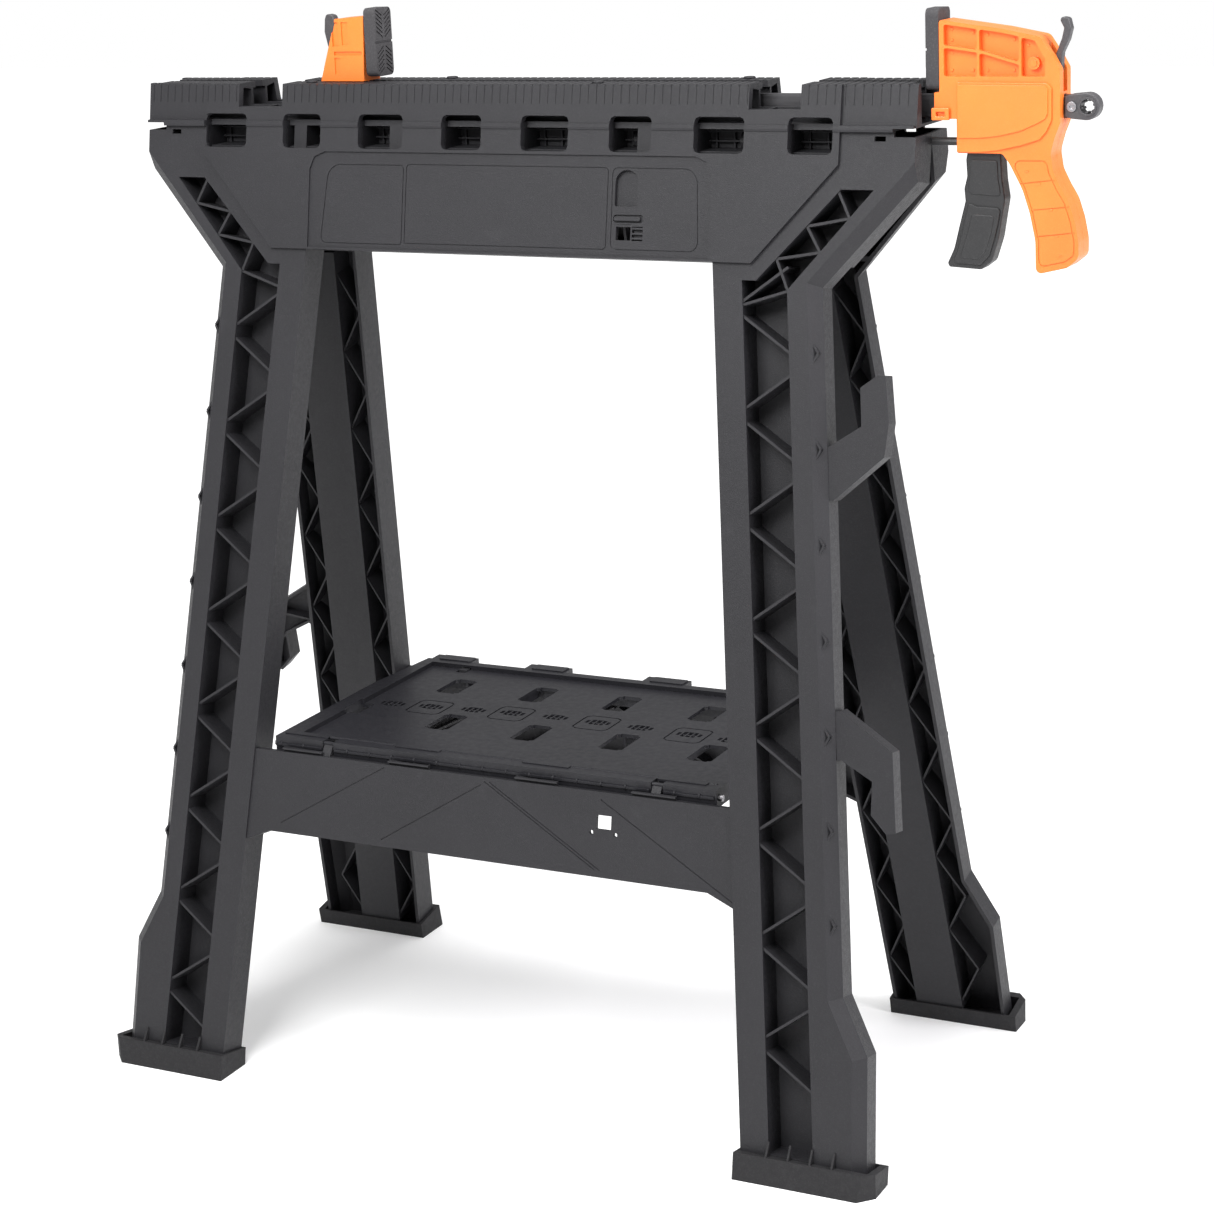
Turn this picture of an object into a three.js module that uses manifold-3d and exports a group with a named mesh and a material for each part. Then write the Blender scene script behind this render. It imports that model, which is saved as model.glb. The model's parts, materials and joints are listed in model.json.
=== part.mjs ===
// Folding sawhorse with a tool tray and a one-handed bar clamp along its top.
// Millimetres, +Z up, X along the beam, front frame at -Y. Sub-parts are drawn about the beam's
// middle, then moved so that the origin is on the floor under the middle of the whole object.
// Two identical A-frame mouldings lean on each other: the rear one is the front one turned half
// a turn about Z. They share a hinge line, and open until their beams meet on the centre plane.
import * as THREE from 'three';
import { mergeVertices } from 'three/addons/utils/BufferGeometryUtils.js';
import Module from 'manifold-3d';

const wasm = await Module();
wasm.setup();

// ---- driving dimensions -------------------------------------------------------------------
const HEIGHT = 813;          // working height
const LEAN = THREE.MathUtils.degToRad(10.75);
const HALF_LENGTH = 338;     // half of the beam's length
const CENTRE_X = 58.65;      // middle of the whole object, past the beam's own middle
const HALF_DEPTH = 24.9;     // front plane to centre plane at the top
const HINGE_Z = 768;         // fold axis, on the centre plane
const GAP = 0.3;             // between touching solids
const WALL = 3;
const LEG_DEPTH = 27;
const BEAM_DEPTH = 32.5;
const SPLAY = 0.0872;        // sideways run of the legs per unit of height
const BEAM_FOOT_Z = 683.4;   // lower edge of the beam
const LEG_INNER_X = 180.7;   // inner edge of the leg at the beam's lower edge
const LEG_WIDTH = 83.5;
const POCKET_FROM = 23.8;    // pocket edges, measured from the leg's inner edge
const POCKET_TO = 60.3;
const LEG_END_Z = 6;
const RIB = 2;
const RIB_PITCH = 78;
const CHAMFER = 9;
const RAISED = 3;            // height of the beam's raised middle
const RAIL = { top: 278.3, bottom: 212, corner: 202, depth: 19, skin: 1.5 };
const WINDOW = { from: 762.4, to: 789, pitch: 73.8, offset: -2, wide: 41.2, narrow: 35.7 };
const NOTCH = { from: 206, to: 247.7, floor: 794.8 };
const SLOT_HALF = 5;         // half of the slot between the two tops
const HINGE = { radius: 8, pin: 3, width: 11.7, stations: [-200, -110, 110, 200] };
const FOOT = { top: 20.1, front: 6.9, back: 29, inner: 235.4, outer: 349, chamfer: 11 };
const TRAY = {
  half: 201, rearHalf: 193.5, front: -116.5, back: 122, top: 288, floor: 284, under: 273,
  rear: 279.2,
};
const TRAY_AXIS = { y: -111.5, z: 280.5, rod: 2.5 };
const CHANNEL_FLOOR = 784; // floor of the bar's channel inside the beam
const BAR = { from: -204, to: 452, low: 787.2, high: 803.8, half: 2.5 };
const CLAMP_HALF = 12.5;     // half of the clamp's width

// ---- solids -------------------------------------------------------------------------------
const toWorld = new THREE.Matrix4().makeBasis(
  new THREE.Vector3(1, 0, 0),
  new THREE.Vector3(0, -Math.sin(LEAN), -Math.cos(LEAN)),
  new THREE.Vector3(0, Math.cos(LEAN), -Math.sin(LEAN)),
).setPosition(0, -HALF_DEPTH, HEIGHT);

function solidOf(geometry) {
  const bare = geometry.clone();
  bare.deleteAttribute('normal');
  bare.deleteAttribute('uv');
  const merged = mergeVertices(bare, 1e-4);
  return new wasm.Manifold(new wasm.Mesh({
    numProp: 3,
    vertProperties: new Float32Array(merged.attributes.position.array),
    triVerts: new Uint32Array(merged.index.array),
  }));
}

function geometryOf(solid) {
  const mesh = solid.getMesh();
  const geometry = new THREE.BufferGeometry();
  geometry.setAttribute('position', new THREE.BufferAttribute(mesh.vertProperties, 3));
  geometry.setIndex(new THREE.BufferAttribute(mesh.triVerts, 1));
  geometry.computeVertexNormals();
  return geometry;
}

const shapeOf = (points) => new THREE.Shape(points.map(([a, b]) => new THREE.Vector2(a, b)));

// Outline in (x, height on the outer plane), pushed from depth d0 to d1 into the leaning frame.
function leaning(points, d0, d1, extras = {}) {
  const sloped = points.map(([x, z]) => [x, (HEIGHT - z) / Math.cos(LEAN)]);
  const options = { depth: d1 - d0, bevelEnabled: false, ...extras };
  const geometry = new THREE.ExtrudeGeometry(shapeOf(sloped), options).translate(0, 0, d0);
  return solidOf(geometry.applyMatrix4(toWorld));
}

// Outline in (x, z) pushed along Y; in (y, z) pushed along X; in (x, y) pushed along Z.
function alongY(points, y0, y1, extras = {}) {
  const options = { depth: y1 - y0, bevelEnabled: false, ...extras };
  const geometry = new THREE.ExtrudeGeometry(shapeOf(points), options);
  return solidOf(geometry.rotateX(Math.PI / 2).translate(0, y1, 0));
}

function alongX(points, x0, x1, extras = {}) {
  const options = { depth: x1 - x0, bevelEnabled: false, ...extras };
  const geometry = new THREE.ExtrudeGeometry(shapeOf(points), options);
  return solidOf(geometry.rotateZ(Math.PI / 2).rotateY(Math.PI / 2).translate(x0, 0, 0));
}

function alongZ(points, z0, z1, extras = {}) {
  const options = { depth: z1 - z0, bevelEnabled: false, ...extras };
  return solidOf(new THREE.ExtrudeGeometry(shapeOf(points), options).translate(0, 0, z0));
}

function box(x0, x1, y0, y1, z0, z1) {
  const geometry = new THREE.BoxGeometry(x1 - x0, y1 - y0, z1 - z0);
  return solidOf(geometry.translate((x0 + x1) / 2, (y0 + y1) / 2, (z0 + z1) / 2));
}

function rodX(x0, x1, y, z, radius, sides = 16) {
  const geometry = new THREE.CylinderGeometry(radius, radius, x1 - x0, sides);
  return solidOf(geometry.rotateZ(Math.PI / 2).translate((x0 + x1) / 2, y, z));
}

function rodY(y0, y1, x, z, radius, sides = 16) {
  const geometry = new THREE.CylinderGeometry(radius, radius, y1 - y0, sides);
  return solidOf(geometry.translate(x, (y0 + y1) / 2, z));
}

const joined = (solids) => solids.reduce((sum, piece) => sum.add(piece));
const cutAll = (body, cutters) => cutters.reduce((rest, cutter) => rest.subtract(cutter), body);
const mirrored = (points) => points.map(([x, z]) => [-x, z]).reverse();

// Four corners of a strip of the given width from one point to another.
function strip([x0, z0], [x1, z1], width) {
  const length = Math.hypot(x1 - x0, z1 - z0);
  const nx = (-(z1 - z0) / length) * (width / 2);
  const nz = ((x1 - x0) / length) * (width / 2);
  return [[x0 + nx, z0 + nz], [x0 - nx, z0 - nz], [x1 - nx, z1 - nz], [x1 + nx, z1 + nz]];
}

// An outline moved outwards by a distance, corner by corner.
function offset(points, distance) {
  const area = points.reduce((sum, [x, z], i) => {
    const [u, v] = points[(i + 1) % points.length];
    return sum + x * v - u * z;
  }, 0);
  const sign = Math.sign(area);
  return points.map((point, i) => {
    const before = points[(i + points.length - 1) % points.length];
    const after = points[(i + 1) % points.length];
    const a = new THREE.Vector2(point[0] - before[0], point[1] - before[1]).normalize();
    const b = new THREE.Vector2(after[0] - point[0], after[1] - point[1]).normalize();
    const normal = new THREE.Vector2(a.y + b.y, -a.x - b.x).multiplyScalar(sign).normalize();
    const reach = distance / Math.max(0.3, normal.dot(new THREE.Vector2(a.y, -a.x)) * sign);
    return [point[0] + normal.x * reach, point[1] + normal.y * reach];
  });
}

function roundedBox(x0, x1, z0, z1, radius) {
  const corners = [[x1, z0, -1, 1], [x1, z1, -1, -1], [x0, z1, 1, -1], [x0, z0, 1, 1]];
  return corners.flatMap(([x, z, sx, sz], corner) => [0, 1, 2].map((step) => {
    const angle = (corner - 1 + step / 2) * (Math.PI / 2);
    return [
      x + sx * radius + Math.cos(angle) * radius,
      z + sz * radius + Math.sin(angle) * radius,
    ];
  }));
}

// ---- outlines of a frame's right half -----------------------------------------------------
const innerX = (z) => LEG_INNER_X + SPLAY * (BEAM_FOOT_Z - z);
const outerX = (z) => innerX(z) + LEG_WIDTH + 1.8;
const KINK_Z = 667.4;
const END_FOOT_Z = 745;
const gussetX = (z) => {
  const share = (z - KINK_Z) / (END_FOOT_Z - KINK_Z);
  return outerX(KINK_Z) + share * (HALF_LENGTH - outerX(KINK_Z));
};
const FLARE = [[312.8, 146.6], [334.8, 104.6], [341, 0]];

const legOutline = [
  [LEG_INNER_X, BEAM_FOOT_Z + 1], [innerX(BEAM_FOOT_Z), BEAM_FOOT_Z], [innerX(-30), -30],
  [342.5, -30], FLARE[1], FLARE[0], [outerX(KINK_Z), KINK_Z],
  [gussetX(BEAM_FOOT_Z + 1), BEAM_FOOT_Z + 1],
];
const beamOutline = [
  [-HALF_LENGTH, HEIGHT + 12], [-HALF_LENGTH, END_FOOT_Z],
  [-gussetX(BEAM_FOOT_Z), BEAM_FOOT_Z], [gussetX(BEAM_FOOT_Z), BEAM_FOOT_Z],
  [HALF_LENGTH, END_FOOT_Z], [HALF_LENGTH, HEIGHT + 12],
];
const raisedOutline = [
  [-279.5, HEIGHT + 12], [-279.5, 755.6], [-213.3, BEAM_FOOT_Z],
  [213.3, BEAM_FOOT_Z], [279.5, 755.6], [279.5, HEIGHT + 12],
];
const shoulderTop = [[281.6, 738.1], [307.4, 738.1]];
const pocketOutline = [
  ...shoulderTop, [innerX(664.7) + POCKET_TO, 664.7], [innerX(21.2) + POCKET_TO, 21.2],
  [innerX(21.2) + POCKET_FROM, 21.2], [innerX(670.9) + POCKET_FROM, 670.9], [217, 670.9],
];
const backOutline = [
  [innerX(BEAM_FOOT_Z) + WALL, BEAM_FOOT_Z - 3], [innerX(4) + WALL, 4], [338, 4],
  [FLARE[1][0] - WALL, FLARE[1][1] - 1], [FLARE[0][0] - WALL, FLARE[0][1] - 1],
  [outerX(KINK_Z) - WALL, KINK_Z - 1], [gussetX(BEAM_FOOT_Z) - 6, BEAM_FOOT_Z - 3],
];

// ---- a frame moulding ---------------------------------------------------------------------
// Pairs of ribs that meet in a V at the side nearer -X, down one channel between two edges.
function vRibs(fromX, toX, firstZ, lastZ, d0, d1, swing = 26) {
  const ribs = [];
  for (let z = firstZ; z > lastZ; z -= RIB_PITCH) {
    [1, -1].forEach((way) => {
      const near = z + way * 5.3;
      const far = near + way * swing;
      ribs.push(leaning(strip([fromX(near) - 0.8, near], [toX(far) + 0.8, far], RIB), d0, d1));
    });
  }
  return ribs;
}

function shoulderRibs(side) {
  const inner = (t) => [217 + t * 64.6, 670.9 + t * 67.2];
  const outer = (t) => [242.5 + t * 64.9, 664.7 + t * 73.4];
  const stops = [outer(-0.0), inner(0.24), outer(0.38), inner(0.6), outer(0.72), inner(0.97)];
  return stops.slice(1).map((stop, i) => {
    const ends = strip(stops[i], stop, RIB);
    return leaning(side > 0 ? ends : mirrored(ends), 1, LEG_DEPTH - 2);
  });
}

function hook(root, outline) {
  const lift = (points) => points.map(([x, z]) => [x + root, z]);
  const shell = leaning(lift(outline), 9.5, 24);
  const hollow = leaning(offset(lift(outline), -2.2), 12, 30);
  return shell.subtract(hollow);
}

function hooks() {
  const upper = [
    [276, 551], [303.4, 568.5], [301, 596.5], [314, 606], [320.3, 606], [325, 572], [322.7, 547],
    [284, 513], [279, 513],
  ];
  const lower = [
    [293, 358], [298, 359.5], [341.5, 333], [347.5, 274], [340, 272], [327, 285], [326.5, 310],
    [301, 323], [298, 322],
  ];
  const ribs = [
    strip([279, 549], [323, 556], 2), strip([303, 569], [322, 575], 2),
    strip([298, 325], [341, 331], 2), strip([327, 309], [343, 300], 2),
  ];
  return [hook(0, upper), hook(0, lower), ...ribs.map((rib) => leaning(rib, 11, 22))];
}

function windowOutline(index) {
  const centre = WINDOW.offset + (index - 4.5) * WINDOW.pitch;
  const half = (index % 2 ? WINDOW.wide : WINDOW.narrow) / 2;
  return roundedBox(centre - half, centre + half, WINDOW.from, WINDOW.to, 4);
}

// Web and ear that carry the fold axis at one station, from the front wall past the centre plane.
const hingeEar = (x) => rodX(x + GAP, x + GAP + HINGE.width, 0, HINGE_Z, HINGE.radius);

const hingeWeb = (x) => box(x + GAP, x + GAP + HINGE.width, -34, -GAP / 2, 756, 782);

function railSolid() {
  const reach = (z) => innerX(z) + 1.5;
  const outline = [
    [-reach(RAIL.top), RAIL.top], [-reach(RAIL.corner), RAIL.corner], [-200, RAIL.bottom],
    [200, RAIL.bottom], [reach(RAIL.corner), RAIL.corner], [reach(RAIL.top), RAIL.top],
  ];
  const hollow = offset(outline, -WALL);
  const body = leaning(outline, RAIL.skin, RAIL.depth)
    .subtract(leaning(hollow, RAIL.skin + WALL, RAIL.depth + 5))
    .subtract(box(-230, 230, -118, -60, 266, 300));
  const marks = [[-189, -92], [-92, -1], [104, 3], [206, 106]];
  const ribs = marks.map(([low, high]) => (
    leaning(strip([low, RAIL.bottom + 2], [high, 266], RIB), RAIL.skin + 1, RAIL.depth - 3)));
  return joined([body, ...ribs]);
}

function trayBrackets() {
  return [-150, 150].map((x) => {
    const { y, z, rod } = TRAY_AXIS;
    const plate = alongX([[y + 4.5, z - 4], [y + 4.5, z + 4.5], [y - 4, z + 4.5], [-126, 270],
      [-126, 262]], x - 4, x + 4);
    return plate.subtract(rodX(x - 6, x + 6, y, z, rod + GAP + 0.15));
  });
}

function frameMoulding() {
  const legs = [legOutline, mirrored(legOutline)].map((o) => leaning(o, 0, LEG_DEPTH));
  const beam = leaning(beamOutline, 0, BEAM_DEPTH);
  const raised = leaning(raisedOutline, -RAISED, 1);
  const bevel = {
    bevelEnabled: true, bevelSegments: 1, bevelThickness: CHAMFER, bevelSize: CHAMFER,
    bevelOffset: -CHAMFER,
  };
  const trim = leaning(frameEdge(), CHAMFER, 60, bevel);
  let body = joined([beam, ...legs]).intersect(trim).add(raised);

  // Hollows reached from the back, leaving skin and lips.
  const inside = leaning(offset(frameEdge(), -WALL), CHAMFER + WALL, 60, bevel);
  const beamHollow = offset(beamOutline, -WALL).map(([x, z]) => [x, Math.min(z, HEIGHT - WALL)]);
  const legHollows = [backOutline, mirrored(backOutline)];
  body = cutAll(body, [
    leaning(beamHollow, WALL, 60).intersect(inside),
    ...legHollows.map((outline) => leaning(outline, WALL, 60).intersect(inside)),
  ]);

  // Walls of the front pockets, then everything that stands inside.
  const pockets = [pocketOutline, mirrored(pocketOutline)];
  const right = (at) => (z) => innerX(z) + at;
  const left = (at) => (z) => -innerX(z) - at;
  const floor = LEG_DEPTH - 2.5;
  const walls = pockets.map((outline) => leaning(offset(outline, 2.5), 0.5, LEG_DEPTH));
  const beamRibs = [-3, -2, -1, 0, 1, 2, 3].map((step) => {
    const x = WINDOW.offset + step * WINDOW.pitch;
    return leaning([[x - 1, HEIGHT], [x - 1, 685], [x + 1, 685], [x + 1, HEIGHT]], 2, BEAM_DEPTH);
  });
  const webs = [[779.5, CHANNEL_FLOOR], [755.6, 758.8]].map(([low, high]) => (
    box(-HALF_LENGTH + 1, HALF_LENGTH - 1, -35, -GAP / 2, low, high)));
  const lip = box(-HALF_LENGTH + 1, HALF_LENGTH - 1, -11.5, -9, CHANNEL_FLOOR - 1, HEIGHT);
  const stations = HINGE.stations.map(hingeWeb);
  body = joined([body, ...walls, ...beamRibs, ...webs, lip, ...stations]);
  body = body.intersect(leaningSlab(body));

  // Openings.
  const cuts = pockets.map((outline) => leaning(outline, -5, floor));
  for (let index = 1; index <= 8; index += 1) cuts.push(leaning(windowOutline(index), -10, 7));
  [-1, 1].forEach((side) => {
    const [a, b] = side > 0 ? [NOTCH.from, NOTCH.to] : [-NOTCH.to, -NOTCH.from];
    cuts.push(box(a, b, -60, 1, NOTCH.floor, HEIGHT + 9));
    const [c, d] = side > 0 ? [321, 340] : [-340, -321];
    cuts.push(box(c, d, -60, 1, 775.6, 782));
    const [e, f] = side > 0 ? [306, 314.7] : [-314.7, -306];
    cuts.push(box(e, f, -60, -15, 772.5, 776.2));
    const [g, h] = side > 0 ? [330, 345] : [-345, -330];
    cuts.push(box(g, h, -20, 1, CHANNEL_FLOOR, HEIGHT + 9));
  });
  const panel = [...roundedBox(-178, 178, 660, 760, 14)].map(([x, z]) => [x, Math.max(z, 685)]);
  cuts.push(leaning(dropRepeats(panel), -RAISED - 4, -RAISED + 1.6));
  cuts.push(box(-360, 360, -9, 10, CHANNEL_FLOOR, 808));
  cuts.push(box(-360, 360, -SLOT_HALF, 10, CHANNEL_FLOOR, HEIGHT + 9));
  cuts.push(box(-400, 400, -400, 400, HEIGHT, HEIGHT + 60));
  cuts.push(box(-400, 400, -400, 400, -60, LEG_END_Z));
  cuts.push(box(-400, 400, -GAP / 2, 90, HINGE_Z, HEIGHT + 60));
  body = cutAll(body, cuts);

  const pocketRibs = [
    ...vRibs(left(POCKET_TO), left(POCKET_FROM), 615.8, 60, 1.5, floor + 0.5),
    ...vRibs(right(POCKET_FROM), right(POCKET_TO), 650, 60, 1.5, floor + 0.5),
    leaning(strip([innerX(664) + POCKET_TO, 664], [innerX(653) + POCKET_FROM, 653], RIB), 1.5,
      floor + 0.5),
    leaning(mirrored(strip([innerX(664) + POCKET_TO, 664],
      [innerX(653) + POCKET_FROM, 653], RIB)), 1.5, floor + 0.5),
    ...shoulderRibs(1), ...shoulderRibs(-1),
  ];
  body = joined([body, ...pocketRibs, ...hooks(), railSolid(), ...trayBrackets()]);

  // Fold axis: own ears, and room for the other moulding's ears.
  const ears = HINGE.stations.map(hingeEar);
  const room = HINGE.stations.map((x) => (
    rodX(x - GAP - HINGE.width - 0.4, x + 0.0, 0, HINGE_Z, HINGE.radius + 0.6)));
  body = joined([cutAll(body, room), ...ears]);
  return cutAll(body, [
    rodX(-HALF_LENGTH + 20, HALF_LENGTH - 20, 0, HINGE_Z, HINGE.pin + GAP),
    leaning([[102.8, 260.5], [102.8, 249.5], [115.5, 249.5], [115.5, 260.5]], -3, 8),
  ]);
}

// The gusset's lower line carried on past the beam's end.
function gussetEnd(x) {
  const slope = (END_FOOT_Z - KINK_Z) / (HALF_LENGTH - outerX(KINK_Z));
  return KINK_Z + (Math.abs(x) - outerX(KINK_Z)) * slope;
}

// Outer boundary whose front edge is chamfered: sides of the legs and gussets, not the ends.
function frameEdge() {
  const right = [[343, -60], ...FLARE.slice(0, 2).reverse(), [outerX(KINK_Z), KINK_Z],
    [400, gussetEnd(400)], [400, 900]];
  return [...right, ...mirrored(right)];
}

function dropRepeats(points) {
  return points.filter(([x, z], i) => {
    const [u, v] = points[(i + 1) % points.length];
    return Math.hypot(x - u, z - v) > 0.01;
  });
}

// Keeps the moulding between its own outer plane and, below the fold axis, its back plane.
function leaningSlab() {
  const big = [[-420, HEIGHT + 40], [-420, -60], [420, -60], [420, HEIGHT + 40]];
  return leaning(big, -RAISED - 1, BEAM_DEPTH);
}

// ---- feet, pins ---------------------------------------------------------------------------
function footCap() {
  const outline = [
    [FOOT.inner, FOOT.top], [FOOT.inner, -30], [FOOT.outer, -30], [FOOT.outer, FOOT.top],
  ];
  const cutCorner = alongZ([
    [FOOT.outer - FOOT.chamfer, -200], [FOOT.outer + 5, -200],
    [FOOT.outer + 5, -174.5], [FOOT.outer, -174.5], [FOOT.outer - FOOT.chamfer, -186],
  ], -5, 40);
  const socket = [
    [innerX(40) - GAP, 40], [innerX(-30) - GAP, -30], [343, -30], [343, 40],
  ];
  return leaning(outline, -FOOT.front, FOOT.back)
    .subtract(leaning(socket, -GAP, LEG_DEPTH + GAP).subtract(box(0, 400, -300, 0, -60, 5.7)))
    .subtract(box(0, 400, -300, 0, -60, 0))
    .subtract(cutCorner);
}

function hingePin(x) {
  const reach = HINGE.width + GAP;
  const shaft = rodX(x - reach - 1, x + reach + 0.4, 0, HINGE_Z, HINGE.pin, 14);
  return shaft.add(rodX(x + reach + 0.4, x + reach + 2.6, 0, HINGE_Z, 4.8, 14));
}

// ---- tray ---------------------------------------------------------------------------------
function trayTop() {
  const { half, rearHalf, front, back, top, floor, under, rear } = TRAY;
  const edge = [[half, front], [half, 40], [rearHalf, back]];
  let body = alongZ([...edge, ...mirrored(edge)], under, top);
  const frontStep = 100;
  body = cutAll(body, [
    box(-half + 17, half - 17, front + 12, back - 9, floor, top + 2),
    box(-half + 8, half - 8, front + 10.5, frontStep - 8, under - 2, floor - WALL),
    box(-half - 1, half + 1, frontStep - 5, back + 1, under - 2, rear),
  ]);
  const ribs = [-133, -66, 0, 66, 133].map((x) => (
    box(x - 1, x + 1, front + 9, frontStep - 6, under, floor - 2)));
  body = joined([body, ...ribs]);
  const holes = [];
  [[-132, 65], [-52, 67], [28, 68], [109, 66], [-90, -26], [-8, -28], [72, -25], [152, -27]]
    .forEach(([x, y]) => holes.push(box(x - 8, x + 8, y - 20, y + 20, under - 3, top + 3)));
  holes.push(box(-186, -174, -32, -4, under - 3, top + 3));
  body = cutAll(body, holes);
  const hookAt = [-187, -92, 24, 142];
  const clips = hookAt.map((x) => joined([
    box(x - 3, x + 38, back - 1, back + 13, top - 4, top),
    box(x - 3, x + 38, back + 10.5, back + 13, rear - 6, top - 2),
  ]));
  body = joined([body, ...clips]);
  const { y, z, rod } = TRAY_AXIS;
  body = body.subtract(rodX(-half - 2, half + 2, y, z, rod + GAP));
  return cutAll(body, [-150, 150].flatMap((x) => [
    box(x - 5, x + 5, front - 2, y + 10, under - 2, top + 2),
    box(x - 5, x + 5, 103, back + 2, under - 2, z + 5.6),
  ]));
}

function trayRod() {
  const { y, z, rod } = TRAY_AXIS;
  return rodX(-TRAY.half - 3, TRAY.half + 3, y, z, rod, 12);
}

// ---- clamp --------------------------------------------------------------------------------
const barSolid = () => box(BAR.from, BAR.to, -BAR.half, BAR.half, BAR.low, BAR.high);

function barCap() {
  const middle = (BAR.low + BAR.high) / 2;
  const outline = [[440.5, BAR.low - 1.6]];
  for (let step = -4; step <= 4; step += 1) {
    const angle = (step / 4) * (Math.PI / 2);
    outline.push([456.5 + 9.8 * Math.cos(angle), middle + 9.8 * Math.sin(angle)]);
  }
  outline.push([440.5, BAR.high + 1.6]);
  const hole = rodY(-10, 10, 458, middle, 5.2, 16);
  const socket = box(430, BAR.to + GAP, -BAR.half - GAP, BAR.half + GAP, BAR.low - GAP,
    BAR.high + GAP);
  const cap = alongY(outline, -5.5, 5.5).subtract(socket);
  return cap.subtract(hole.intersect(box(452.8, 470, -10, 10, 780, 810)));
}

function headOutline() {
  return [
    [349, 806], [349, 857.6], [396, 851], [424.5, 845.4], [434.4, 831], [439.5, 822],
    [439.5, 784], [436, 775.5], [432.5, 763], [434.5, 750], [440, 739], [446, 729], [450.5, 715],
    [453.4, 700], [453.3, 688], [444.5, 681], [421.5, 675.5], [421.2, 700], [417, 720],
    [411.5, 737], [402, 755], [396.5, 762.5], [362, 762.5], [362, 787], [345, 787], [345, 806],
  ];
}

// One half of the head's casing: y0 is its outer side, y1 the parting plane.
function headShell(side) {
  const outer = side * CLAMP_HALF;
  const inner = side * 0.15;
  const [low, high] = side < 0 ? [outer, inner] : [inner, outer];
  const shell = alongY(headOutline(), low, high);
  const [coreLow, coreHigh] = side < 0 ? [outer + 2.6, 5] : [-5, outer - 2.6];
  const core = [
    [352, 809], [352, 853.8], [395.5, 847.8], [422.5, 842.5], [431.5, 829], [436.5, 821],
    [436.5, 785], [432.5, 775], [429.3, 764], [365, 765.5], [365, 790], [348, 790], [348, 809],
  ];
  const gripCore = [
    [429.3, 766], [431.3, 749], [437, 737], [443, 728], [447.4, 714.4], [450.2, 700],
    [450.2, 689.5], [443.4, 684], [424.5, 679.4], [424.2, 700.4], [419.9, 721], [414.2, 738.3],
    [404.8, 756.4], [400, 766],
  ];
  const barWay = box(330, 460, -BAR.half - 0.4, BAR.half + 0.4, BAR.low - 0.4, BAR.high + 0.4);
  const triggerWay = box(358, 402, -8.8, 8.8, 755, 790);
  const leverWay = box(428, 446, -4.4, 4.4, 806, 846);
  let result = cutAll(shell, [
    alongY(core, coreLow, coreHigh), alongY(gripCore, coreLow, coreHigh),
    barWay, triggerWay, leverWay, rodX(355, 366, 0, 769.5, 3.4),
  ]);
  if (side < 0) {
    result = result.subtract(alongY([
      [352.5, 817], [352.5, 854.5], [395.5, 848.4], [421, 842.8], [429, 830], [429, 817],
    ], -CLAMP_HALF - 1, -CLAMP_HALF + 1.4));
    const ribs = [
      strip([378.5, 816], [378.5, 852], 1.8), strip([410, 816], [410, 846], 1.8),
      strip([351, 838.5], [378, 835], 1.8), strip([378, 835], [409, 826], 1.8),
    ];
    result = joined([result, ...ribs.map((rib) => alongY(rib, -CLAMP_HALF, -CLAMP_HALF + 2))]);
  }
  const bosses = SCREWS.map(([x, z]) => {
    const [from, to] = side < 0 ? [outer + 1, inner] : [inner, outer - 1];
    return rodY(from, to, x, z, 5, 12).subtract(rodY(from - 1, to + 1, x, z, 1.9, 8));
  });
  result = joined([result, ...bosses]);
  const sinks = SCREWS.map(([x, z]) => rodY(9.3, 15, x, z, 3.6, 12).add(rodY(5, 15, x, z, 1.9, 8)));
  return side > 0 ? cutAll(result, sinks) : result;
}

const SCREWS = [[370, 845], [420, 824], [437, 700]];

function headCover() {
  const outline = [
    [362.5, 763.4], [380, 763.4], [394.7, 765.1], [411, 768.6], [424.8, 772.8], [430, 779],
    [433.7, 787], [433.7, 809.5], [430.5, 812.8], [362.5, 813.4],
  ];
  return alongY(outline, -CLAMP_HALF - 3.3, -CLAMP_HALF - GAP);
}

function loopClip() {
  const ring = alongY([[343.8, 786.3], [357, 786.3], [357, 795], [343.8, 795]],
    -CLAMP_HALF - 3, -CLAMP_HALF - GAP);
  return ring.subtract(box(347, 353.8, -20, -5, 789, 792.3));
}

function pad(x0, x1, top, bottom) {
  return alongX(roundedBox(-CLAMP_HALF, CLAMP_HALF, bottom, top, 4), x0, x1);
}

function trigger() {
  const outline = [
    [368.5, 767], [366.8, 757], [367.5, 745], [365.5, 735], [365.8, 727], [361.5, 710],
    [357, 692], [352, 681], [353, 678.4], [378, 677], [386, 683], [391.5, 700], [394, 715],
    [396.4, 729], [394.4, 742], [393.4, 757], [393.4, 772], [386, 780], [376, 780],
  ];
  const body = alongY(outline, -8, 8);
  const hollow = alongY([
    [397, 690], [388, 700], [390, 716], [392, 729], [390, 743], [389.4, 756], [397, 756],
  ], -5.6, 5.6);
  return body.subtract(hollow).subtract(rodY(-9, 9, PIVOT.x, PIVOT.z, 2.35, 12));
}

const PIVOT = { x: 382, z: 773 };

const pinY = (x, z, radius, half) => rodY(-half, half, x, z, radius, 12);

function releaseLever() {
  const outline = [
    [430.5, 818], [434.5, 816.5], [437.5, 820], [438.4, 833], [442.8, 842], [444.9, 850],
    [443, 857.5], [438, 858.3], [436.6, 856], [439.6, 850.5], [438, 843.5], [434.2, 834],
    [431.8, 826],
  ];
  return alongY(outline, -3.8, 3.8).subtract(rodY(-9, 9, LEVER.x, LEVER.z, 1.6, 10));
}

const LEVER = { x: 434.2, z: 820 };

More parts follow.
